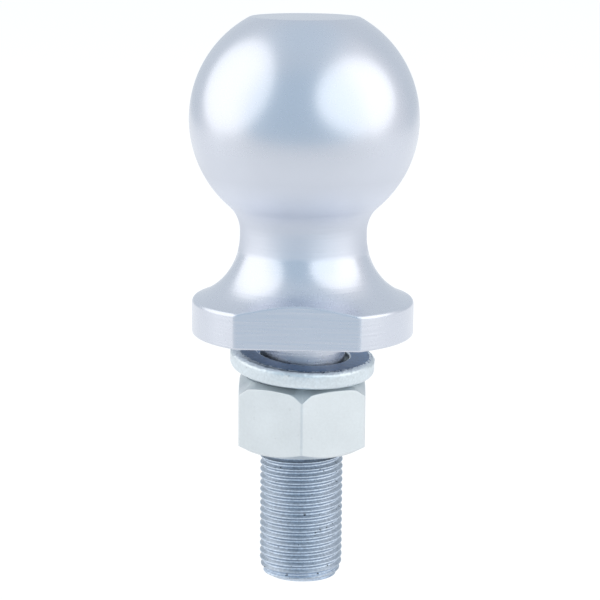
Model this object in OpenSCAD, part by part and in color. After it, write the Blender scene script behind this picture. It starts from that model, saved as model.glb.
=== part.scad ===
// Threaded tow ball: a one-piece ball stud with a flared flange, its spring washer and its nut.
// The axis is Z. Height 0 is the underside of the flange, which seats on the drawbar.
// The front of the object looks along -Y.

/* [Ball] */
// Diameter of the ball
ball_d = 50.8; // [48:0.1:60]
// Diameter of the small flat turned on top of the ball
ball_flat_d = 24; // [8:0.5:30]
// Height of the ball's centre above the seat
ball_z = 47.9; // [46:0.1:60]

/* [Neck] */
// Diameter of the waist under the ball
neck_d = 28.2; // [24:0.1:31]
// Height at which the flare down to the flange begins
flare_top_z = 22; // [20:0.1:23]
// Length of the straight waist between the flare and the ball's fillet
waist_h = 1; // [0.4:0.1:2]

/* [Flange] */
// Diameter of the round rim
flange_d = 49.5; // [46:0.1:52]
// Height at which the flare meets the rim, before its edge is rounded
rim_h = 7.8; // [6:0.1:9]
// Distance across the two spanner flats
flats_w = 41.4; // [38:0.1:44]
// Turn of the flats about the axis, in degrees, anticlockwise from above
flats_turn = -3.3; // [-30:0.1:30]
// Rounding of the rim's upper edge
rim_top_round = 1; // [0.3:0.1:1.6]
// Rounding of the rim's lower edge
rim_low_round = 0.6; // [0.2:0.1:1.5]

/* [Shank] */
// Diameter of the plain stretch under the seat
shank_d = 19.05; // [18.8:0.05:20]
// Length of the plain stretch under the seat
plain_l = 7; // [4:0.5:7.5]
// Diameter over the thread's crests
thread_d = 18.7; // [17.5:0.05:18.75]
// Height of one turn of the thread, 16 turns to the inch
thread_pitch = 1.5875; // [1.5:0.0125:2.5]
// Depth of the thread from its crests to its roots
thread_depth = 0.85; // [0.5:0.05:0.95]
// Width of the thread's crests along the shank
thread_crest = 0.2; // [0.1:0.05:0.3]
// Drop from the seat to a crest on the front of the shank
thread_front_drop = 40.71; // [39.9:0.01:41.5]
// Length of the shank below the seat
shank_l = 56; // [50:0.5:70]
// How far the end chamfer comes in from the thread's crests
end_chamfer_r = 1.2; // [0.4:0.1:2]
// Length of the end chamfer along the shank
end_chamfer_h = 1.8; // [0.5:0.1:3]
// Fillet between the shank and the seat
root_fillet = 0.8; // [0.3:0.1:1]

/* [Nut] */
// Distance from the seat down to the nut's upper face
nut_drop = 10; // [9:0.1:30]
// Distance across the nut's flats
nut_af = 28.2; // [27:0.1:30]
// Thickness of the nut
nut_h = 16; // [14:0.1:18]
// Diameter of the flat face inside the upper chamfer
nut_top_face_d = 25.4; // [23:0.1:27]
// Diameter of the flat face inside the lower chamfer
nut_low_face_d = 26.8; // [23:0.1:27]
// Slope of both chamfers, in degrees
nut_chamfer_angle = 30; // [20:1:40]
// How much wider than the thread the bore's countersunk mouths are
nut_mouth_extra = 1.6; // [0.6:0.1:2.4]
// Radial gap between the thread's crests and the nut's bore
nut_clearance = 0.05; // [0.02:0.01:0.1]

/* [Spring washer] */
// Radial gap between the shank and the washer's hole
washer_clearance = 1; // [0.8:0.05:1.4]
// Width of the washer's section
washer_w = 5.7; // [5:0.1:6.5]
// Thickness of the washer's section
washer_t = 4; // [3.2:0.1:4.6]
// Rounding of the section's outer edges
washer_outer_round = 1.2; // [0.4:0.1:1.5]
// Rounding of the section's inner edges
washer_inner_round = 0.4; // [0.2:0.1:1]
// Rise of the coil from its low end to its high end
washer_rise = 3.3; // [2:0.1:3.8]
// Forward lean of the coil as it lies on the nut, in degrees
washer_lean_front = 5.2; // [3:0.1:6]
// Lean of the coil to the right, in degrees
washer_lean_right = 1.2; // [0:0.1:2]
// Direction of the split from +X, in degrees
split_angle = 165; // [150:1:200]
// Width of the split at the middle of the section
split_gap = 1.6; // [0.8:0.1:3]
// Slant of the split's two faces against the axis, in degrees
split_slant = 22; // [0:1:35]
// Gap left between the washer and the nut that it lies on
washer_seat_gap = 0.03; // [0.02:0.01:0.1]

/* [Hidden] */
$fn = 96;

// Small overlap that keeps a cut clear of the face that it cuts
eps = 1;

ball_r = ball_d / 2;
ball_flat_z = sqrt(pow(ball_r, 2) - pow(ball_flat_d / 2, 2));
neck_r = neck_d / 2;
flange_r = flange_d / 2;
shank_r = shank_d / 2;
thread_r = thread_d / 2;

// The flare is one arc, upright at the waist, that ends at the rim's corner
flare_w = flange_r - neck_r;
flare_h = flare_top_z - rim_h;
flare_r = (pow(flare_w, 2) + pow(flare_h, 2)) / (2 * flare_w);

// The ball's fillet is one arc, upright at the waist and tangent to the ball
fillet_z = flare_top_z + waist_h;
fillet_r = (pow(ball_z - fillet_z, 2) / (ball_r - neck_r) - (ball_r + neck_r)) / 2;
fillet_share = ball_r / (ball_r + fillet_r);
fillet_touch = [(neck_r + fillet_r) * fillet_share, ball_z - (ball_z - fillet_z) * fillet_share];

// The rim's upper edge is rounded by an arc tangent to the flare and to the rim
flare_centre = [neck_r + flare_r, flare_top_z];
rim_round_x = flange_r - rim_top_round;
rim_round_z = flare_top_z - sqrt(pow(flare_r + rim_top_round, 2) - pow(flare_centre.x - rim_round_x, 2));
rim_round_centre = [rim_round_x, rim_round_z];
rim_touch = flare_centre + (rim_round_centre - flare_centre) * flare_r / (flare_r + rim_top_round);

// The thread's outline over one turn, as distance from the axis and height from its crest
root_r = thread_r - thread_depth;
flank_h = thread_depth * tan(30);
thread_outline = [
    [root_r, -thread_crest / 2 - flank_h], [thread_r, -thread_crest / 2],
    [thread_r, thread_crest / 2], [root_r, thread_crest / 2 + flank_h]
];
// The thread is wound past both ends of its stretch and then cut to it. It starts at +X,
// where its crests lie a quarter turn above those at the front
thread_steps = 24;
crest_z = thread_pitch / 4 - thread_front_drop;
thread_z = crest_z - ceil((crest_z + shank_l) / thread_pitch + 2) * thread_pitch;
thread_count = thread_steps * ceil((eps - plain_l - thread_z) / thread_pitch + 2);

// Where the washer's coil runs: radii from the axis, and heights from the middle of its section
washer_in_r = shank_r + washer_clearance;
washer_mid_r = washer_in_r + washer_w / 2;
washer_steps = 56;
corner_steps = 2;
split_half_turn = split_gap / 2 / washer_mid_r * 180 / PI;

// Corner of a section: points on a quarter circle of radius r that turns from angle a
function corner(x, y, r, a) =
    [for (i = [0 : corner_steps]) [x, y] + r * [cos(a + 90 * i / corner_steps), sin(a + 90 * i / corner_steps)]];

// The washer's section, anticlockwise, as distance from the axis and height
function washer_section() =
    let (x0 = washer_in_r, x1 = washer_in_r + washer_w, h = washer_t / 2)
    let (ri = washer_inner_round, ro = washer_outer_round)
    concat(
        corner(x1 - ro, h - ro, ro, 0),
        corner(x0 + ri, h - ri, ri, 90),
        corner(x0 + ri, ri - h, ri, 180),
        corner(x1 - ro, ro - h, ro, 270)
    );

// A left-hand coil rises clockwise, so its high end is just past the split
function coil_point(p, share) =
    let (slant_turn = p.y * tan(split_slant) / washer_mid_r * 180 / PI)
    let (turn = split_half_turn + share * (360 - 2 * split_half_turn))
    let (a = split_angle + turn + slant_turn)
    [p.x * cos(a), p.x * sin(a), p.y + washer_rise * (0.5 - turn / 360)];

function lean(p) =
    let (cf = cos(washer_lean_front), sf = sin(washer_lean_front))
    let (cr = cos(washer_lean_right), sr = sin(washer_lean_right))
    let (q = [p.x, p.y * cf - p.z * sf, p.y * sf + p.z * cf])
    [q.x * cr + q.z * sr, q.y, q.z * cr - q.x * sr];

washer_outline = washer_section();
washer_points = [
    for (i = [0 : washer_steps]) for (p = washer_outline) lean(coil_point(p, i / washer_steps))
];
washer_low = min([for (p = washer_points) p.z]);
washer_z = -nut_drop + washer_seat_gap - washer_low;

module ball() {
    translate([0, 0, ball_z])
        difference() {
            sphere(r = ball_r);
            translate([0, 0, ball_flat_z + ball_r / 2])
                cube([ball_d, ball_d, ball_r], center = true);
        }
}

// Half section of the flange, its flare and the waist, as a blank less the arcs that shape it
module flange_section() {
    difference() {
        polygon([
            [0, 0], [flange_r, 0], [flange_r, rim_h],
            [neck_r, flare_top_z], [neck_r, fillet_z], [0, fillet_z]
        ]);
        translate(flare_centre) circle(r = flare_r);
        difference() {
            polygon([
                rim_round_centre, rim_touch,
                [flange_r + eps, rim_touch.y + eps], [flange_r + eps, rim_round_z]
            ]);
            translate(rim_round_centre) circle(r = rim_top_round);
        }
        difference() {
            translate([flange_r - rim_low_round, -eps]) square([rim_low_round + eps, rim_low_round + eps]);
            translate([flange_r - rim_low_round, rim_low_round]) circle(r = rim_low_round);
        }
    }
}

// Half section of the stretch between the waist and the ball
module fillet_section() {
    difference() {
        polygon([[0, fillet_z], [neck_r, fillet_z], fillet_touch, [0, fillet_touch.y]]);
        translate([neck_r + fillet_r, fillet_z]) circle(r = fillet_r);
    }
}

module neck_and_flange() {
    rotate_extrude() fillet_section();
    intersection() {
        rotate_extrude() flange_section();
        rotate([0, 0, flats_turn])
            translate([0, 0, ball_z / 2])
                cube([2 * flange_d, flats_w, ball_z], center = true);
    }
}

// Right-hand screw surface, closed by a fan of faces at each end
module screw() {
    n = len(thread_outline);
    last = thread_count;
    points = [
        for (i = [0 : last]) for (p = thread_outline)
            let (a = 360 * i / thread_steps)
            [p.x * cos(a), p.x * sin(a), thread_z + p.y + thread_pitch * i / thread_steps]
    ];
    middle = len(points);
    // Within a turn, each row of points joins the next; its last row joins the turn above
    sides = [
        for (i = [0 : last - 1]) for (j = [0 : n - 2])
            [i * n + j, i * n + j + 1, (i + 1) * n + j + 1, (i + 1) * n + j]
    ];
    roots = [
        for (i = [0 : last - 1 - thread_steps])
            let (a = i * n + n - 1, b = (i + thread_steps) * n)
            [a, b, b + n, a + n]
    ];
    low_rim = concat([for (i = [0 : thread_steps]) i * n], [for (j = [n - 1 : -1 : 1]) j]);
    high_rim = concat(
        [for (i = [last - thread_steps : last]) i * n + n - 1],
        [for (j = [n - 2 : -1 : 0]) last * n + j]
    );
    low_fan = [for (k = [0 : len(low_rim) - 1]) [middle, low_rim[k], low_rim[(k + 1) % len(low_rim)]]];
    high_fan = [for (k = [0 : len(high_rim) - 1]) [middle + 1, high_rim[(k + 1) % len(high_rim)], high_rim[k]]];
    polyhedron(
        points = concat(points, [
            [0, 0, thread_z + thread_pitch / 2],
            [0, 0, thread_z + thread_pitch * (last / thread_steps - 1 / 2)]
        ]),
        faces = concat(sides, roots, low_fan, high_fan),
        convexity = 10
    );
}

module shank() {
    intersection() {
        screw();
        rotate_extrude()
            polygon([
                [0, -shank_l], [thread_r - end_chamfer_r, -shank_l],
                [thread_r + end_chamfer_r, 2 * end_chamfer_h - shank_l],
                [thread_r + end_chamfer_r, eps - plain_l], [0, eps - plain_l]
            ]);
    }
    // The plain stretch ends in a cone down to the thread's roots, out of which the thread runs
    rotate_extrude()
        polygon([
            [0, root_r - shank_r - plain_l], [root_r, root_r - shank_r - plain_l],
            [shank_r, -plain_l], [shank_r, 0], [0, 0]
        ]);
    rotate_extrude()
        difference() {
            translate([shank_r / 2, -root_fillet]) square([shank_r / 2 + root_fillet, root_fillet]);
            translate([shank_r + root_fillet, -root_fillet]) circle(r = root_fillet);
        }
}

module ball_stud() {
    color("lightsteelblue")
        union() {
            ball();
            neck_and_flange();
            shank();
        }
}

module spring_washer() {
    n = len(washer_outline);
    sides = [
        for (i = [0 : washer_steps - 1]) for (j = [0 : n - 1])
            let (k = (j + 1) % n)
            [i * n + j, i * n + k, (i + 1) * n + k, (i + 1) * n + j]
    ];
    high_end = [for (j = [n - 1 : -1 : 0]) j];
    low_end = [for (j = [0 : n - 1]) washer_steps * n + j];
    color("slategray")
        translate([0, 0, washer_z])
            polyhedron(points = washer_points, faces = concat(sides, [high_end], [low_end]), convexity = 4);
}

// Solid of revolution that cuts both chamfers on the nut's corners
module nut_envelope() {
    corner_r = nut_af / sqrt(3) + eps;
    slope = tan(nut_chamfer_angle);
    top_r = nut_top_face_d / 2;
    low_r = nut_low_face_d / 2;
    rotate_extrude()
        polygon([
            [0, 0], [low_r, 0], [corner_r, (corner_r - low_r) * slope],
            [corner_r, nut_h - (corner_r - top_r) * slope], [top_r, nut_h], [0, nut_h]
        ]);
}

module hex_nut() {
    bore_r = thread_r + nut_clearance;
    mouth_r = thread_r + nut_mouth_extra / 2;
    mouth_h = mouth_r - bore_r;
    color("gainsboro")
        translate([0, 0, -nut_drop - nut_h])
            difference() {
                intersection() {
                    rotate([0, 0, 30]) cylinder(d = nut_af / cos(30), h = nut_h, $fn = 6);
                    nut_envelope();
                }
                translate([0, 0, -eps]) cylinder(r = bore_r, h = nut_h + 2 * eps);
                translate([0, 0, -eps]) cylinder(r1 = mouth_r + eps, r2 = bore_r - eps, h = mouth_h + 2 * eps);
                translate([0, 0, nut_h - mouth_h - eps])
                    cylinder(r1 = bore_r - eps, r2 = mouth_r + eps, h = mouth_h + 2 * eps);
            }
}

ball_stud();
spring_washer();
hex_nut();
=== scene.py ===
"""Dresses the threaded tow ball: ball stud, spring washer and nut, all of zinc-plated steel.

Sizes are in metres, in the frame of the CAD model. The axis is Z, and height 0 is the underside
of the flange.
"""

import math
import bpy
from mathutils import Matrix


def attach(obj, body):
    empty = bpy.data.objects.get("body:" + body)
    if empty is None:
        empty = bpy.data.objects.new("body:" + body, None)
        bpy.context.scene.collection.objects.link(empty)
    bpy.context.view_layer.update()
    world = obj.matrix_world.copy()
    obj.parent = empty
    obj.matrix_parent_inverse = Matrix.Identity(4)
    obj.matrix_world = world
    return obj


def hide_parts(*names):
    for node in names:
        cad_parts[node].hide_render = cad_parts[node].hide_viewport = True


bl_info = {
    "name": "Threaded Tow Ball",
    "version": (1, 0, 0),
    "blender": (4, 5, 0),
    "location": "View3D > Sidebar > Tow Ball",
    "description": "Builds a tow ball with its threaded shank, spring washer and nut",
    "category": "Object",
}

import bmesh
import bpy
from bpy.props import FloatProperty, FloatVectorProperty, PointerProperty
from mathutils import Matrix, Vector, noise

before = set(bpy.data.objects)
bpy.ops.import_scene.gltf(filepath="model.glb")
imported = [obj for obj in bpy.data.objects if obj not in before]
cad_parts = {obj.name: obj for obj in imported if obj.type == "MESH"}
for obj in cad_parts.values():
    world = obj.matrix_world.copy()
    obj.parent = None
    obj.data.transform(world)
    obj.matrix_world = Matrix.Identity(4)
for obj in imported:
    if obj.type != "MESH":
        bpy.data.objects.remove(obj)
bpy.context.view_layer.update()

MM = 0.001
MERGE = 0.002 * MM  # vertices nearer than this are one
FULL_TURN = 2 * math.pi
AXIS = (0, 0, 1)
SHARP = math.radians(40)  # faces that meet at more than this are shaded with a sharp edge
CREASE = math.radians(12)  # edges that turn by more than this may be rounded
FLANK = math.radians(30)  # slope of the thread's flanks

# How finely round shapes are drawn
FLAT_COLUMNS = 44
RIM_COLUMNS = 76
THREAD_COLUMNS = 96
NUT_FACE_COLUMNS = 24
WASHER_COLUMNS = 420
BALL_STEPS = 72
NECK_STEPS = 16
FLARE_STEPS = 21
FILLET_STEPS = 6


def linear(code):
    """Turns an sRGB hex colour into the linear colour that Blender works in."""
    parts = [int(code[i : i + 2], 16) / 255 for i in (1, 3, 5)]
    return [p / 12.92 if p <= 0.04045 else ((p + 0.055) / 1.055) ** 2.4 for p in parts]


def length(name, description, millimetres):
    """A property for a length, which Blender keeps in metres."""
    return FloatProperty(
        name=name, description=description, default=millimetres * MM, unit="LENGTH", precision=5
    )


def angle(name, description, degrees):
    """A property for an angle, which Blender keeps in radians."""
    return FloatProperty(
        name=name, description=description, default=math.radians(degrees), unit="ROTATION"
    )


def colour(name, description, code):
    """A property for a colour."""
    return FloatVectorProperty(
        name=name, description=description, default=linear(code), subtype="COLOR", min=0, max=1
    )


class StudSettings(bpy.types.PropertyGroup):
    """Sizes of the ball, its neck, its flange and its shank."""

    ball_d: length("Ball diameter", "Diameter of the ball", 50.8)
    ball_flat_d: length("Ball flat", "Diameter of the flat turned on top of the ball", 24)
    ball_z: length("Ball height", "Height of the ball's centre above the seat", 47.9)
    neck_d: length("Neck diameter", "Diameter of the waist under the ball", 28.2)
    flare_top_z: length("Flare top", "Height at which the flare to the flange begins", 22)
    waist_h: length("Waist height", "Length of the straight waist", 1)
    flange_d: length("Flange diameter", "Diameter of the round rim", 49.5)
    rim_h: length("Rim height", "Height at which the flare meets the rim", 7.8)
    flats_w: length("Width over flats", "Distance across the two spanner flats", 41.4)
    flats_turn: angle("Turn of the flats", "Turn of the flats about the axis", -3.3)
    rim_top_edge: length("Rim's upper edge", "Width of the rounding on the rim's upper edge", 0.75)
    rim_low_edge: length("Rim's lower edge", "Width of the rounding on the rim's lower edge", 0.55)
    flat_edge: length("Edges of the flats", "Width of the rounding round each flat", 0.3)
    shank_d: length("Shank diameter", "Diameter of the plain stretch under the seat", 19.05)
    root_fillet: length("Root fillet", "Fillet between the shank and the seat", 0.8)
    plain_l: length("Plain length", "Length of the plain stretch under the seat", 7)
    shank_l: length("Shank length", "Length of the shank below the seat", 56)


class ThreadSettings(bpy.types.PropertyGroup):
    """Sizes of the thread on the shank and in the nut."""

    pitch: length("Pitch", "Height of one turn, 16 turns to the inch", 25.4 / 16)
    crest_r: length("Crest radius", "Radius over the shank's crests", 9.35)
    root_r: length("Root radius", "Radius in the shank's roots", 8.5)
    play: length("Play", "Radial gap between the shank's thread and the nut's", 0.1)
    front_crest_z: length("Front crest", "Height of one crest on the front of the shank", -40.71)
    run_out: length("Run-out", "Length over which the thread rises out of the shank", 1.8)
    taper_r: length("Taper depth", "How far the rounded end comes in from the crests", 1.2)
    taper_h: length("Taper length", "Length of the rounded end", 4)


class NutSettings(bpy.types.PropertyGroup):
    """Sizes of the nut."""

    drop: length("Drop", "Distance from the seat down to the nut", 10)
    af: length("Width across flats", "Distance across the nut's flats", 28.2)
    height: length("Height", "Thickness of the nut", 16)
    top_face_d: length("Upper face", "Diameter of the face inside the upper chamfer", 25.4)
    low_face_d: length("Lower face", "Diameter of the face inside the lower chamfer", 26.8)
    chamfer: angle("Chamfer slope", "Slope of both chamfers", 30)
    ease: FloatProperty(
        name="Ease", description="Slope of the upper chamfer past the flats", default=0.35
    )
    dome_r: length("Dome radius", "Radius beyond which the upper chamfer is domed", 15.2)
    dome: FloatProperty(name="Dome", description="Extra slope beyond the dome radius", default=1.2)
    mouth_r: length("Mouth radius", "Radius of the bore's countersunk mouths", 10.15)
    corner_edge: length("Corner edges", "Width of the rounding on the six upright edges", 0.45)
    chamfer_edge: length("Chamfer edges", "Width of the rounding along the chamfers", 0.16)


class WasherSettings(bpy.types.PropertyGroup):
    """Sizes of the spring washer."""

    hole_r: length("Hole radius", "Radius of the washer's hole", 10.525)
    width: length("Width", "Width of the washer's section", 5.7)
    thickness: length("Thickness", "Thickness of the washer's section", 4)
    outer_round: length("Outer rounding", "Rounding of the section's outer edges", 1.2)
    inner_round: length("Inner rounding", "Rounding of the section's inner edges", 0.4)
    rise: length("Rise", "Rise of the coil from its low end to its high end", 3.3)
    lean_front: angle("Forward lean", "Forward lean of the coil on the nut", 5.2)
    lean_right: angle("Lean to the right", "Lean of the coil to the right", 1.2)
    split_at: angle("Split", "Direction of the split from +X", 165)
    split_gap: length("Split width", "Width of the split", 1.6)
    split_slant: angle("Split slant", "Slant of the split's faces against the axis", 22)
    seat_gap: length("Seat gap", "Gap between the washer and the nut", 0.03)
    burr: length("Burr", "Height of the burrs along the rim's upper edge", 0.25)


class FinishSettings(bpy.types.PropertyGroup):
    """Colours of the metals and of the studio."""

    ball_zinc: colour("Ball zinc", "Satin zinc on the turned ball and flange", "#D2D6E0")
    thread_zinc: colour("Thread zinc", "Zinc on the rolled thread", "#C1CDDC")
    washer_zinc: colour("Washer zinc", "Zinc on the spring washer's rim", "#D9E2E8")
    # Painted shade: the dark colour drawn on the washer's upper face, which lies in shade under the
    # flange
    washer_painted_shade: colour("Washer painted shade", "Painted shade on the spring washer's upper face", "#7087A4")
    nut_zinc: colour("Nut zinc", "Pale matt zinc on the nut", "#DBE0E3")
    room_back: colour("Back of the room", "Pale wall behind the object", "#DFE6EC")
    room_sides: colour("Sides of the room", "Pale screens beside the object", "#F3F5F8")
    room_front: colour("Front of the room", "Grey-blue wall behind the camera", "#CADCEA")
    room_top: colour("Ceiling", "Blue-grey ceiling of the room", "#DAE7F1")


def add_node(tree, kind, inputs=None, **settings):
    """Adds a node to a tree. An input is given a value, or another node's output to link."""
    made = tree.nodes.new(kind)
    for name, value in settings.items():
        setattr(made, name, value)
    for name, value in (inputs or {}).items():
        if isinstance(value, bpy.types.NodeSocket):
            tree.links.new(value, made.inputs[name])
        else:
            made.inputs[name].default_value = value
    return made


def calculate(tree, operation, *values, **settings):
    """Adds a maths node to a tree and returns its result."""
    inputs = dict(enumerate(values))
    return add_node(
        tree, "ShaderNodeMath", inputs, operation=operation, **settings
    ).outputs[0]


def ramp(tree, value, start, end, low=0, high=1, kind="LINEAR"):
    """Adds a node that goes from low to high while a value goes from start to end."""
    return add_node(
        tree,
        "ShaderNodeMapRange",
        {"Value": value, "From Min": start, "From Max": end, "To Min": low, "To Max": high},
        interpolation_type=kind,
    ).outputs[0]


def band(tree, value, middle, near, far, inside, outside):
    """Adds nodes that give one number near a middle value and another far from it."""
    off = calculate(tree, "ABSOLUTE", calculate(tree, "SUBTRACT", value, middle))
    return ramp(tree, off, near, far, inside, outside)


def pattern(tree, place, size, detail):
    """Adds a noise pattern whose blobs have a real size."""
    return add_node(
        tree, "ShaderNodeTexNoise", {"Vector": place, "Scale": 1 / size, "Detail": detail}
    ).outputs["Fac"]


def distance_out(tree, place, middle=0):
    """Adds nodes that give the distance from an upright line that stands middle away along X."""
    level = add_node(
        tree,
        "ShaderNodeMapping",
        {"Vector": place, "Location": (-middle, 0, 0), "Scale": (1, 1, 0)},
    )
    return add_node(
        tree, "ShaderNodeVectorMath", {0: level.outputs[0]}, operation="LENGTH"
    ).outputs["Value"]


def blend(tree, share, first, second):
    """Adds a node that mixes a share of a second colour into a first."""
    return add_node(
        tree, "ShaderNodeMix", {0: share, 6: first, 7: (*second, 1)}, data_type="RGBA"
    ).outputs[2]


def plated_steel(
    name, zinc, roughness, mottle, streaks, grain, bump, specks=0, flecks=0, flanks=None, lit_edge=None
):
    """Zinc plate over steel, which is a metal with a soft sheen.

    Mottle is how much the tone and the roughness vary. Streaks are the marks that a tool leaves
    round the axis below the ball, and they draw highlights out along the axis. Grain is the relief
    of the plate's own crystals, flecks are how much the crystals vary in tone, and specks are dark
    pits. Bump is the height of the relief in millimetres. Flanks are the middle radius and half
    the depth of a thread, whose flanks get painted shade. The last argument gives the middle and
    the radius of a circle, outside which a face drawn dark with painted shade takes painted light
    instead, and the colour there.
    """
    material = bpy.data.materials.new(name)
    material.use_nodes = True
    tree = material.node_tree
    tree.nodes.clear()
    place = add_node(tree, "ShaderNodeTexCoord").outputs["Object"]
    height = add_node(tree, "ShaderNodeSeparateXYZ", {"Vector": place}).outputs["Z"]
    turned = min(1, streaks)

    # Tool marks, about 0.7 mm high and long round the axis, as coarse as they need to be to show
    round_the_axis = add_node(
        tree, "ShaderNodeMapping", {"Vector": place, "Scale": (0.12, 0.12, 3)}
    ).outputs[0]
    lines = pattern(tree, round_the_axis, 2 * MM, 1)
    # The plate's crystals are finer than 0.1 mm, and are drawn coarser so that they show
    crystals = pattern(tree, place, 0.6 * MM, 4)
    clouds = pattern(tree, place, 9 * MM, 2)
    pits = pattern(tree, place, 1.1 * MM, 1)

    shade = ramp(tree, clouds, 0.3, 0.7, 1 - mottle, 1 + mottle)
    shade = calculate(tree, "MULTIPLY", shade, ramp(tree, pits, 0.72, 0.76, 1, 1 - specks))
    flecked = ramp(tree, crystals, 0.35, 0.65, 1 - flecks, 1 + flecks)
    shade = calculate(tree, "MULTIPLY", shade, flecked)
    # Painted light: the plate is drawn paler just under the ball, which keeps the dark reflection
    # of the flare faint there
    pale = band(tree, height, 30.5 * MM, 1 * MM, 5.5 * MM, 1 + 0.11 * turned, 1)
    shade = calculate(tree, "MULTIPLY", shade, pale)
    if flanks:
        middle, half = flanks
        # Painted shade: the thread's flanks are drawn darker than its crests and roots
        flank_shade = band(
            tree, distance_out(tree, place), middle, 0.7 * half, 0.95 * half, 0.74, 1
        )
        shade = calculate(tree, "MULTIPLY", shade, flank_shade)
    base = add_node(
        tree, "ShaderNodeVectorMath", {0: (*zinc,), "Scale": shade}, operation="SCALE"
    ).outputs[0]
    if lit_edge:
        middle, radius, bright = lit_edge
        # The crystals make the edge of the painted light ragged
        out = calculate(
            tree, "MULTIPLY_ADD", crystals, 2.4 * MM, distance_out(tree, place, middle)
        )
        share = ramp(tree, out, radius + 1.1 * MM, radius + 1.5 * MM)
        base = blend(tree, share, base, bright)

    rough = ramp(tree, crystals, 0.3, 0.7, roughness - mottle, roughness + mottle)
    # The neck is duller than the ball, down to a clear line where the flare's highlights begin
    dull = calculate(
        tree,
        "MULTIPLY",
        band(tree, height, 19 * MM, 12 * MM, 23 * MM, 0.26 * turned, 0),
        band(tree, height, 0, 18.2 * MM, 19.4 * MM, 0, 1),
    )
    rough = calculate(tree, "ADD", rough, dull)

    below_ball = ramp(tree, height, 30 * MM, 24 * MM, 0, streaks)
    relief = calculate(
        tree,
        "ADD",
        calculate(tree, "MULTIPLY", lines, below_ball),
        calculate(tree, "MULTIPLY", crystals, grain),
    )
    raised = add_node(
        tree, "ShaderNodeBump", {"Height": relief, "Strength": 1, "Distance": bump * MM}
    )
    tangent = add_node(tree, "ShaderNodeTangent", direction_type="RADIAL", axis="Z")
    shader = add_node(
        tree,
        "ShaderNodeBsdfPrincipled",
        {
            "Base Color": base,
            "Metallic": 1,
            "Roughness": rough,
            "Anisotropic": 0.35 * turned,
            "Anisotropic Rotation": 0.25,
            "Tangent": tangent.outputs[0],
            "Normal": raised.outputs[0],
        },
    )
    add_node(tree, "ShaderNodeOutputMaterial", {"Surface": shader.outputs[0]})
    return material


def arc(bm, start, centre, end, steps):
    """Carries a profile on from a vertex along an arc to end, and returns the arc's last vertex."""
    headings = [
        math.atan2(point[0] - centre[0], point[1] - centre[1])
        for point in ((start.co.x, start.co.z), end)
    ]
    turn = (headings[1] - headings[0] + math.pi) % FULL_TURN - math.pi
    made = bmesh.ops.spin(
        bm,
        geom=[start],
        cent=(centre[0], 0, centre[1]),
        axis=(0, 1, 0),
        angle=turn,
        steps=steps,
    )
    return made["geom_last"][0]


def line(bm, start, end):
    """Carries a profile on from a vertex in a straight line to end, and returns its last vertex."""
    vert = bm.verts.new((end[0], 0, end[1]))
    bm.edges.new((start, vert))
    return vert


def boundary(bm, height=None):
    """Edges with one face, all of them or those at a height."""
    return [
        e
        for e in bm.edges
        if e.is_boundary
        and (height is None or all(abs(v.co.z - height) < MERGE for v in e.verts))
    ]


def cut_level(bm, height, keep_above):
    """Cuts a mesh off level at a height."""
    bmesh.ops.bisect_plane(
        bm,
        geom=bm.verts[:] + bm.edges[:] + bm.faces[:],
        dist=MERGE / 10,
        plane_co=(0, 0, height),
        plane_no=AXIS,
        clear_inner=keep_above,
        clear_outer=not keep_above,
    )


def make_piece(bm, name, body, node, material, edges=0):
    """Turns a mesh into a piece that rides on a CAD body and stands for its node."""
    bmesh.ops.recalc_face_normals(bm, faces=bm.faces[:])
    for face in bm.faces:
        face.smooth = True
    mesh = bpy.data.meshes.new(name)
    bm.to_mesh(mesh)
    bm.free()
    mesh.set_sharp_from_angle(angle=SHARP)
    mesh.materials.append(material)
    piece = bpy.data.objects.new(name, mesh)
    bpy.context.scene.collection.objects.link(piece)
    if edges:
        rounding = piece.modifiers.new("Rounded edges", "BEVEL")
        rounding.limit_method = "WEIGHT"
        rounding.width = edges
        rounding.segments = 3
        rounding.use_clamp_overlap = False
        rounding.harden_normals = True
    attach(piece, body)
    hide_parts(node)
    return piece


def stud_profile(bm, s):
    """Draws half the outline of the ball, neck, flange and plain stretch, from the top down."""
    ball_r, neck_r, flange_r, shank_r = s.ball_d / 2, s.neck_d / 2, s.flange_d / 2, s.shank_d / 2
    flat_r = s.ball_flat_d / 2
    flat_z = s.ball_z + math.sqrt(ball_r**2 - flat_r**2)
    waist_z = s.flare_top_z + s.waist_h
    fillet_r = ((s.ball_z - waist_z) ** 2 / (ball_r - neck_r) - (ball_r + neck_r)) / 2
    share = ball_r / (ball_r + fillet_r)
    touch = ((neck_r + fillet_r) * share, s.ball_z - (s.ball_z - waist_z) * share)
    flare_centre, _ = flare(s)
    at = bm.verts.new((0, 0, flat_z))
    at = line(bm, at, (flat_r, flat_z))
    at = arc(bm, at, (0, s.ball_z), touch, BALL_STEPS)
    at = arc(bm, at, (neck_r + fillet_r, waist_z), (neck_r, waist_z), NECK_STEPS)
    at = line(bm, at, (neck_r, s.flare_top_z))
    at = arc(bm, at, flare_centre, (flange_r, s.rim_h), FLARE_STEPS)
    at = line(bm, at, (flange_r, 0))
    at = line(bm, at, (shank_r + s.root_fillet, 0))
    at = arc(
        bm,
        at,
        (shank_r + s.root_fillet, -s.root_fillet),
        (shank_r, -s.root_fillet),
        FILLET_STEPS,
    )
    at = line(bm, at, (shank_r, -s.plain_l))
    line(bm, at, (0, -s.plain_l))


def flare(s):
    """Centre and radius of the flare's arc, upright at the waist."""
    width, height = (s.flange_d - s.neck_d) / 2, s.flare_top_z - s.rim_h
    radius = (width**2 + height**2) / (2 * width)
    return (s.neck_d / 2 + radius, s.flare_top_z), radius


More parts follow.
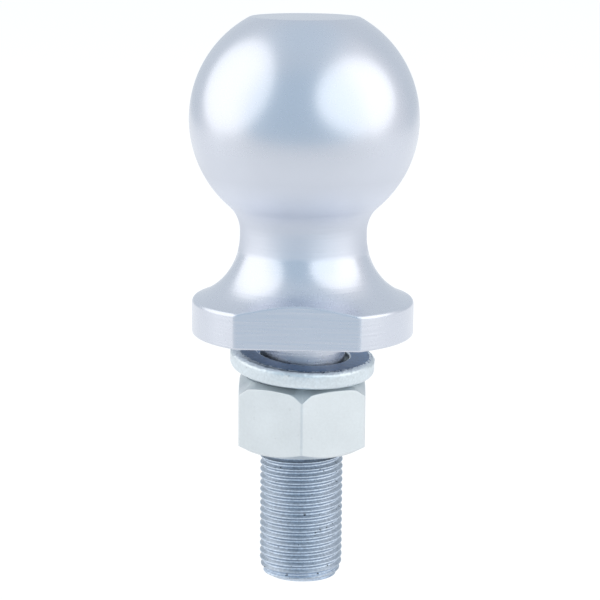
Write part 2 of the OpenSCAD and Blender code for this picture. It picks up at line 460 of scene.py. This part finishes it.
def fit_flats(bm, s):
    """Draws the flare and the rim in to the two flats, so that edges follow each flat's outline."""
    (centre_r, centre_z), flare_r = flare(s)
    flange_r = s.flange_d / 2
    rim_turn = math.acos((centre_r - flange_r) / flare_r)
    for v in bm.verts:
        if not -MERGE < v.co.z < centre_z or v.co.xy.length < s.neck_d / 2:
            continue
        way = math.atan2(v.co.y, v.co.x)
        across = abs(math.sin(way - s.flats_turn))
        edge_r = min(flange_r, s.flats_w / 2 / max(across, 0.5))
        if v.co.z > s.rim_h - MERGE:
            turn = math.atan2(centre_z - v.co.z, centre_r - v.co.xy.length)
            turn *= math.acos((centre_r - edge_r) / flare_r) / rim_turn
            radius = centre_r - flare_r * math.cos(turn)
            v.co.z = centre_z - flare_r * math.sin(turn)
        else:
            radius = edge_r
        v.co.x, v.co.y = radius * math.cos(way), radius * math.sin(way)


def weigh_flange_edges(bm, s, widest):
    """Says how wide each edge of the flange, and the edge of the ball's flat, is rounded."""
    weight = bm.edges.layers.float.new("bevel_weight_edge")
    flat_z = s.ball_z + math.sqrt((s.ball_d / 2) ** 2 - (s.ball_flat_d / 2) ** 2)
    unturn = Matrix.Rotation(-s.flats_turn, 3, "Z")
    for e in bm.edges:
        ends = [unturn @ v.co for v in e.verts]
        if len(e.link_faces) != 2 or e.calc_face_angle() < CREASE:
            continue
        if all(abs(p.z - flat_z) < MERGE for p in ends):
            e[weight] = s.flat_edge / widest
        elif all(
            -MERGE < p.z < s.flare_top_z and p.xy.length > s.flats_w / 2 - MERGE for p in ends
        ):
            on_flat = all(abs(abs(p.y) - s.flats_w / 2) < MERGE for p in ends)
            level = abs(ends[0].z - ends[1].z) < MERGE
            if on_flat:
                e[weight] = s.flat_edge / widest
            elif level:
                low = ends[0].z < MERGE
                e[weight] = (s.rim_low_edge if low else s.rim_top_edge) / widest


class TOWBALL_OT_ball_and_flange(bpy.types.Operator):
    """Build the ball, the neck, the flange with its flats and the plain stretch of the shank"""

    bl_idname = "towball.ball_and_flange"
    bl_label = "Ball and Flange"

    def execute(self, context):
        s, finish = context.scene.towball_stud, context.scene.towball_finish
        bm = bmesh.new()
        stud_profile(bm, s)
        corner = math.asin(s.flats_w / s.flange_d)
        bmesh.ops.rotate(
            bm,
            verts=bm.verts[:],
            cent=(0, 0, 0),
            matrix=Matrix.Rotation(s.flats_turn - corner, 3, "Z"),
        )
        last = bm.verts[:] + bm.edges[:]
        for turn, columns in 2 * [(2 * corner, RIM_COLUMNS), (math.pi - 2 * corner, FLAT_COLUMNS)]:
            last = bmesh.ops.spin(
                bm, geom=last, cent=(0, 0, 0), axis=AXIS, angle=turn, steps=columns
            )["geom_last"]
        bmesh.ops.remove_doubles(bm, verts=bm.verts[:], dist=MERGE)
        fit_flats(bm, s)
        weigh_flange_edges(bm, s, s.rim_top_edge)
        # Turned steel under thin zinc gives a smooth satin sheen with wide soft highlights
        material = plated_steel(
            "Zinc-plated turned steel",
            finish.ball_zinc,
            roughness=0.28,
            mottle=0.01,
            streaks=1,
            grain=0,
            bump=0.03,
        )
        make_piece(
            bm,
            "ball_and_flange",
            "stud",
            "ball_stud",
            material,
            edges=s.rim_top_edge,
        )
        return {"FINISHED"}


def wind_thread(bm, t, crest_r, root_r, low, high):
    """Winds a right-hand thread surface from low to high, in step with the shank's front crest."""
    depth = crest_r - root_r
    half = t.pitch / 2
    flank = abs(depth) * math.tan(FLANK)
    crest_half = 0.105 * MM
    # Half a turn's outline, as radius and height from the crest, with crest and root rounded
    outline = [
        (root_r, -half),
        (root_r + 0.02 * depth, -(crest_half + flank + 0.1 * MM)),
        (root_r + 0.11 * depth, -(crest_half + flank * 0.9)),
        (crest_r - 0.11 * depth, -(crest_half + flank * 0.11)),
        (crest_r - 0.02 * depth, -crest_half * 0.7),
    ]
    outline += [(crest_r, 0)] + [(r, -z) for r, z in reversed(outline)]
    turns = math.ceil((high - low) / t.pitch) + 2
    # At the front, a quarter turn before +X, the crest is a quarter pitch lower than it is at +X
    crest = t.front_crest_z + t.pitch / 4
    start = crest - math.ceil((crest - low) / t.pitch + 1) * t.pitch
    verts = [bm.verts.new((r, 0, start + z)) for r, z in outline]
    chain = verts + [bm.edges.new(pair) for pair in zip(verts, verts[1:])]
    bmesh.ops.spin(
        bm,
        geom=chain,
        cent=(0, 0, 0),
        axis=AXIS,
        dvec=(0, 0, t.pitch / THREAD_COLUMNS),
        angle=FULL_TURN,
        steps=THREAD_COLUMNS,
    )
    one_turn = bm.verts[:] + bm.edges[:] + bm.faces[:]
    for turn in range(1, turns + 1):
        copied = bmesh.ops.duplicate(bm, geom=one_turn)["geom"]
        bmesh.ops.translate(
            bm,
            verts=[v for v in copied if isinstance(v, bmesh.types.BMVert)],
            vec=(0, 0, turn * t.pitch),
        )
    bmesh.ops.remove_doubles(bm, verts=bm.verts[:], dist=MERGE)


def set_radius(v, radius):
    """Moves a vertex straight out from the axis or in to it."""
    v.co.xy *= radius / v.co.xy.length


class TOWBALL_OT_threaded_shank(bpy.types.Operator):
    """Build the shank's rolled thread, from its run-out to the rounded end"""

    bl_idname = "towball.threaded_shank"
    bl_label = "Threaded Shank"

    def execute(self, context):
        s, t = context.scene.towball_stud, context.scene.towball_thread
        finish = context.scene.towball_finish
        low, high = -s.shank_l, -s.plain_l
        bm = bmesh.new()
        wind_thread(bm, t, t.crest_r, t.root_r, low, high)
        cut_level(bm, low, keep_above=True)
        cut_level(bm, high, keep_above=False)
        step_h = s.shank_d / 2 - t.crest_r
        for v in bm.verts:
            radius = v.co.xy.length
            # The roots rise to the crests over the run-out, then a short cone meets the shank
            risen = max(0, 1 - (high - step_h - v.co.z) / t.run_out)
            radius += (t.crest_r - radius) * min(1, risen)
            radius += max(0, v.co.z - high + step_h)
            # The thread is rolled over the rounded end too
            taper = max(0, 1 - (v.co.z - low) / t.taper_h) ** 2 * t.taper_r
            set_radius(v, radius - taper)
        for height in (low, high):
            bmesh.ops.contextual_create(bm, geom=boundary(bm, height))
        # A rolled thread has a few dark pits, and painted shade on its flanks leaves bright crest
        # lines between them
        material = plated_steel(
            "Zinc-plated rolled thread",
            finish.thread_zinc,
            roughness=0.37,
            mottle=0.04,
            streaks=0.3,
            grain=0.5,
            bump=0.006,
            specks=0.8,
            flecks=0.14,
            flanks=((t.crest_r + t.root_r) / 2, (t.crest_r - t.root_r) / 2),
        )
        make_piece(
            bm, "threaded_shank", "stud", "ball_stud", material
        )
        return {"FINISHED"}


class TOWBALL_OT_spring_washer(bpy.types.Operator):
    """Build the split spring washer as it lies on the nut"""

    bl_idname = "towball.spring_washer"
    bl_label = "Spring Washer"

    def execute(self, context):
        s, nut = context.scene.towball_washer, context.scene.towball_nut
        finish = context.scene.towball_finish
        mid_r = s.hole_r + s.width / 2
        half_gap = s.split_gap / 2 / mid_r
        span = FULL_TURN - 2 * half_gap
        bm = bmesh.new()
        bmesh.ops.create_grid(bm, x_segments=1, y_segments=1, size=0.5)
        bmesh.ops.scale(bm, verts=bm.verts[:], vec=(s.width, s.thickness, 1))
        for outer, rounding in ((True, s.outer_round), (False, s.inner_round)):
            corners = [
                v
                for v in bm.verts
                if abs(v.co.y) > s.thickness / 2 - MERGE and (v.co.x > 0) == outer
                and abs(v.co.x) > s.width / 2 - MERGE
            ]
            bmesh.ops.bevel(
                bm,
                geom=corners,
                offset=rounding,
                affect="VERTICES",
                segments=6 if outer else 4,
                profile=0.5,
                material=-1,
            )
        bmesh.ops.delete(bm, geom=bm.faces[:], context="FACES_ONLY")
        for v in bm.verts:
            # The section stands up and leans along the coil, which gives the split its slant
            lean = v.co.y * math.tan(s.split_slant) / mid_r + s.split_at + half_gap
            radius = mid_r + v.co.x
            height = v.co.y + s.rise * (0.5 - half_gap / FULL_TURN)
            v.co = (radius * math.cos(lean), radius * math.sin(lean), height)
        bmesh.ops.spin(
            bm,
            geom=bm.verts[:] + bm.edges[:],
            cent=(0, 0, 0),
            axis=AXIS,
            dvec=(0, 0, -s.rise * span / FULL_TURN / WASHER_COLUMNS),
            angle=span,
            steps=WASHER_COLUMNS,
        )
        bmesh.ops.holes_fill(bm, edges=boundary(bm))
        bmesh.ops.recalc_face_normals(bm, faces=bm.faces[:])
        # The upper face takes the painted shade, out to a ragged line where it starts to round into
        # the rim
        for face in bm.faces:
            ragged = 1.02 - 0.25 * noise.noise(face.calc_center_median() / (0.5 * MM))
            face.material_index = int(face.normal.z > min(0.995, ragged))
        self.raise_burrs(bm, s, mid_r)
        for turn, way in ((s.lean_front, "X"), (s.lean_right, "Y")):
            bmesh.ops.rotate(
                bm, verts=bm.verts[:], cent=(0, 0, 0), matrix=Matrix.Rotation(turn, 3, way)
            )
        lowest = min(v.co.z for v in bm.verts)
        bmesh.ops.translate(
            bm, verts=bm.verts[:], vec=(0, 0, s.seat_gap - nut.drop - lowest)
        )
        # Zinc over a wound bar's rough rim gives a pale face with a fine sparkle
        material = plated_steel(
            "Zinc-plated spring steel",
            finish.washer_zinc,
            roughness=0.36,
            mottle=0.06,
            streaks=0,
            grain=1,
            bump=0.07,
            specks=0.2,
            flecks=0.06,
        )
        outer_r = s.hole_r + s.width
        # Painted shade: the upper face, which lies in shade under the flange, is drawn dark
        # blue-grey, and gives way to painted light along its rounded outer edge, widest on one side
        dark = plated_steel(
            "Zinc under painted shade",
            finish.washer_painted_shade,
            roughness=0.42,
            mottle=0.1,
            streaks=0,
            grain=1,
            bump=0.06,
            specks=0.5,
            flecks=0.25,
            lit_edge=(0.07 * outer_r, 0.95 * outer_r, finish.washer_zinc),
        )
        piece = make_piece(
            bm, "coiled_washer", "washer", "spring_washer", material
        )
        piece.data.materials.append(dark)
        return {"FINISHED"}

    def raise_burrs(self, bm, s, mid_r):
        """Roughens the edge between the upper face and the rim, where the bar was cut."""
        for v in bm.verts:
            way = math.atan2(v.co.y, v.co.x)
            along = (way - s.split_at) % FULL_TURN / FULL_TURN
            height = v.co.z - s.rise * (0.5 - along)
            # The burrs stop short of the split
            if 0.03 < along < 0.97 and height > s.thickness / 2 - s.outer_round * 0.8:
                if v.co.xy.length > mid_r + s.width / 2 - s.outer_round * 0.9:
                    v.co += v.normal * max(0, noise.noise(v.co / (0.35 * MM))) * s.burr


class TOWBALL_OT_hex_nut(bpy.types.Operator):
    """Build the hexagon nut with its chamfers and its thread"""

    bl_idname = "towball.hex_nut"
    bl_label = "Hexagon Nut"

    def execute(self, context):
        s, t = context.scene.towball_nut, context.scene.towball_thread
        finish = context.scene.towball_finish
        high, low = -s.drop, -s.drop - s.height
        bm = bmesh.new()
        wind_thread(bm, t, t.crest_r + t.play, t.root_r + 2.5 * t.play, low, high)
        cut_level(bm, low, keep_above=True)
        cut_level(bm, high, keep_above=False)
        for v in bm.verts:
            mouth = s.mouth_r - min(high - v.co.z, v.co.z - low)
            set_radius(v, max(v.co.xy.length, mouth))
        top = bmesh.ops.create_circle(
            bm,
            segments=6 * NUT_FACE_COLUMNS,
            radius=s.top_face_d / 2,
            matrix=Matrix.Translation((0, 0, high)),
        )["verts"]
        ring = [e for e in bm.edges if e.is_wire]
        bmesh.ops.bridge_loops(bm, edges=boundary(bm, high) + ring)
        for level in ("upper", "lower", "bottom"):
            out = bmesh.ops.extrude_edge_only(bm, edges=ring)["geom"]
            ring = [e for e in out if isinstance(e, bmesh.types.BMEdge)]
            for v in {v for e in ring for v in e.verts}:
                way = math.atan2(v.co.y, v.co.x)
                side = (way + math.pi / 6) % (math.pi / 3) - math.pi / 6
                hexagon_r = s.af / 2 / math.cos(side)
                slope = math.tan(s.chamfer)
                if level == "upper":
                    # The chamfer eases off past the flats and falls away again at the corners
                    past_flat, past_dome = hexagon_r - s.af / 2, max(0, hexagon_r - s.dome_r)
                    drop = (s.af - s.top_face_d) / 2 * slope + past_flat * s.ease
                    v.co.z = high - drop - past_dome * s.dome
                elif level == "lower":
                    v.co.z = low + (hexagon_r - s.low_face_d / 2) * slope
                else:
                    v.co.z = low
                set_radius(v, s.low_face_d / 2 if level == "bottom" else hexagon_r)
            ring = [e for e in ring if e.is_boundary]
        bmesh.ops.bridge_loops(bm, edges=boundary(bm, low))
        weight = bm.edges.layers.float.new("bevel_weight_edge")
        for e in bm.edges:
            far = min(v.co.xy.length for v in e.verts) > s.top_face_d / 2 - MERGE
            if far and len(e.link_faces) == 2 and e.calc_face_angle() > CREASE:
                upright = abs(e.verts[0].co.z - e.verts[1].co.z) > s.height / 2
                e[weight] = 1 if upright else s.chamfer_edge / s.corner_edge
        # Thick matt zinc gives a pale and nearly even face, with hardly any reflection
        material = plated_steel(
            "Zinc-plated nut",
            finish.nut_zinc,
            roughness=0.5,
            mottle=0.03,
            streaks=0,
            grain=0.6,
            bump=0.02,
            specks=0.06,
            flecks=0.02,
        )
        make_piece(
            bm, "threaded_nut", "nut", "hex_nut", material, edges=s.corner_edge
        )
        return {"FINISHED"}


def soft_box(name, way, distance, height, size, brightness):
    """Adds an upright oval lamp that faces the axis. Way is its turn from the front."""
    lamp = bpy.data.lights.new(name, "AREA")
    lamp.shape = "ELLIPSE"
    lamp.size, lamp.size_y = size
    lamp.color = linear("#FFFBF2")  # a slightly warm white
    lamp.energy = brightness * lamp.size * lamp.size_y * math.pi**2 / 4
    box = bpy.data.objects.new(name, lamp)
    out = Vector((math.sin(way), -math.cos(way), 0))
    box.location = out * distance + Vector((0, 0, height))
    box.rotation_euler = out.to_track_quat("Z", "Y").to_euler()
    box.visible_camera = False
    bpy.context.scene.collection.objects.link(box)


def pale_room(finish):
    """Makes a world like a pale room, with screens beside the object and a grey-blue front."""
    world = bpy.data.worlds.new("Pale room")
    world.use_nodes = True
    tree = world.node_tree
    tree.nodes.clear()
    way = add_node(tree, "ShaderNodeTexCoord").outputs["Generated"]
    parts = add_node(tree, "ShaderNodeSeparateXYZ", {"Vector": way})
    level = add_node(tree, "ShaderNodeMapping", {"Vector": way, "Scale": (1, 1, 0)})
    level = add_node(tree, "ShaderNodeVectorMath", {0: level.outputs[0]}, operation="NORMALIZE")
    across = add_node(tree, "ShaderNodeSeparateXYZ", {"Vector": level.outputs[0]})
    walls = (*finish.room_back, 1)
    for value, start, end, tint in (
        (calculate(tree, "ABSOLUTE", across.outputs["X"]), 0.72, 1, finish.room_sides),
        (parts.outputs["Y"], -0.25, -0.75, finish.room_front),
        (parts.outputs["Z"], 0.75, 1, finish.room_top),
    ):
        share = ramp(tree, value, start, end, kind="SMOOTHSTEP")
        walls = blend(tree, share, walls, tint)
    light = add_node(tree, "ShaderNodeBackground", {"Color": walls, "Strength": 1})
    add_node(tree, "ShaderNodeOutputWorld", {"Surface": light.outputs[0]})
    return world


def white_paper():
    """Makes the floor's material, whose glow is seen, also in metal, but lights nothing matt."""
    # White paper gives the object a plain white ground without a horizon
    paper = bpy.data.materials.new("White paper sweep")
    paper.use_nodes = True
    tree = paper.node_tree
    tree.nodes.clear()
    rays = add_node(tree, "ShaderNodeLightPath").outputs
    mirrored = calculate(tree, "ADD", rays["Is Glossy Ray"], rays["Is Transmission Ray"])
    seen = calculate(tree, "ADD", rays["Is Camera Ray"], mirrored, use_clamp=True)
    place = add_node(tree, "ShaderNodeTexCoord").outputs["Object"]
    depth = add_node(tree, "ShaderNodeSeparateXYZ", {"Vector": place}).outputs["Y"]
    # The paper glows less in front of the object than behind it
    lift = ramp(tree, depth, -0.35, 0.02, 0.48, 0.71)
    glow = add_node(
        tree,
        "ShaderNodeEmission",
        {"Color": (1, 1, 1, 1), "Strength": calculate(tree, "MULTIPLY", seen, lift)},
    )
    matt = add_node(tree, "ShaderNodeBsdfDiffuse", {"Color": (0.35, 0.35, 0.35, 1)})
    both = add_node(tree, "ShaderNodeAddShader", {0: matt.outputs[0], 1: glow.outputs[0]})
    add_node(tree, "ShaderNodeOutputMaterial", {"Surface": both.outputs[0]})
    return paper


class TOWBALL_OT_studio(bpy.types.Operator):
    """Build the floor, the lamps, the room's light and the camera"""

    bl_idname = "towball.studio"
    bl_label = "Studio"

    def execute(self, context):
        scene = context.scene
        scene.view_settings.view_transform = "Standard"
        scene.world = pale_room(scene.towball_finish)

        soft_box(
            "Left soft box",
            way=math.radians(-84),
            distance=1.2,
            height=1.12,
            size=(2.6, 2.6),
            brightness=0.66,
        )
        soft_box(
            "Right soft box",
            way=math.radians(60),
            distance=1.2,
            height=0.84,
            size=(2.7, 2.05),
            brightness=0.74,
        )

        # The nut can screw down to the end of the shank without meeting the floor
        floor_z = -scene.towball_stud.shank_l - scene.towball_nut.height
        # The paper reaches 0.35 m in front of the axis and 3.55 m behind it
        floor_middle, half_width, half_depth = 1.6, 0.7, 1.95
        bm = bmesh.new()
        bmesh.ops.create_grid(
            bm,
            x_segments=1,
            y_segments=1,
            size=1,
            matrix=Matrix.Translation((0, floor_middle, floor_z))
            @ Matrix.Diagonal((half_width, half_depth, 1, 1)),
        )
        mesh = bpy.data.meshes.new("floor")
        bm.to_mesh(mesh)
        bm.free()
        mesh.materials.append(white_paper())
        floor = bpy.data.objects.new("floor", mesh)
        scene.collection.objects.link(floor)

        # The camera is fitted to the photograph, which is 600 pixels wide
        photo_w, lens_in_pixels, shift_in_pixels = 600, 2230.7, -2.8
        tilt, roll = 0.1912, 0.0084
        camera = bpy.data.objects.new("Camera", bpy.data.cameras.new("Camera"))
        camera.data.sensor_width = 36
        camera.data.lens = lens_in_pixels / photo_w * camera.data.sensor_width
        camera.data.shift_x = shift_in_pixels / photo_w
        camera.matrix_world = (
            Matrix.Translation((0, -489.6 * MM, 102.05 * MM))
            @ Matrix.Rotation(math.pi / 2 - tilt, 4, "X")
            @ Matrix.Rotation(roll, 4, "Z")
        )
        camera.data.clip_start = 0.05
        scene.collection.objects.link(camera)
        scene.camera = camera
        return {"FINISHED"}


BUILDERS = (
    TOWBALL_OT_ball_and_flange,
    TOWBALL_OT_threaded_shank,
    TOWBALL_OT_spring_washer,
    TOWBALL_OT_hex_nut,
    TOWBALL_OT_studio,
)
GROUPS = {
    "towball_stud": StudSettings,
    "towball_thread": ThreadSettings,
    "towball_nut": NutSettings,
    "towball_washer": WasherSettings,
    "towball_finish": FinishSettings,
}


class TOWBALL_PT_panel(bpy.types.Panel):
    """Lists the settings and the builders in the sidebar"""

    bl_idname = "TOWBALL_PT_panel"
    bl_label = "Threaded Tow Ball"
    bl_space_type = "VIEW_3D"
    bl_region_type = "UI"
    bl_category = "Tow Ball"

    def draw(self, context):
        for name, group in GROUPS.items():
            box = self.layout.box()
            for setting in group.__annotations__:
                box.prop(getattr(context.scene, name), setting)
        for builder in BUILDERS:
            self.layout.operator(builder.bl_idname)


def register():
    for cls in (*GROUPS.values(), *BUILDERS, TOWBALL_PT_panel):
        bpy.utils.register_class(cls)
    for name, group in GROUPS.items():
        setattr(bpy.types.Scene, name, PointerProperty(type=group))


def unregister():
    for name in GROUPS:
        delattr(bpy.types.Scene, name)
    for cls in reversed((*GROUPS.values(), *BUILDERS, TOWBALL_PT_panel)):
        bpy.utils.unregister_class(cls)


def main():
    register()
    bpy.ops.towball.ball_and_flange()
    bpy.ops.towball.threaded_shank()
    bpy.ops.towball.spring_washer()
    bpy.ops.towball.hex_nut()
    bpy.ops.towball.studio()


if __name__ == "__main__":
    main()
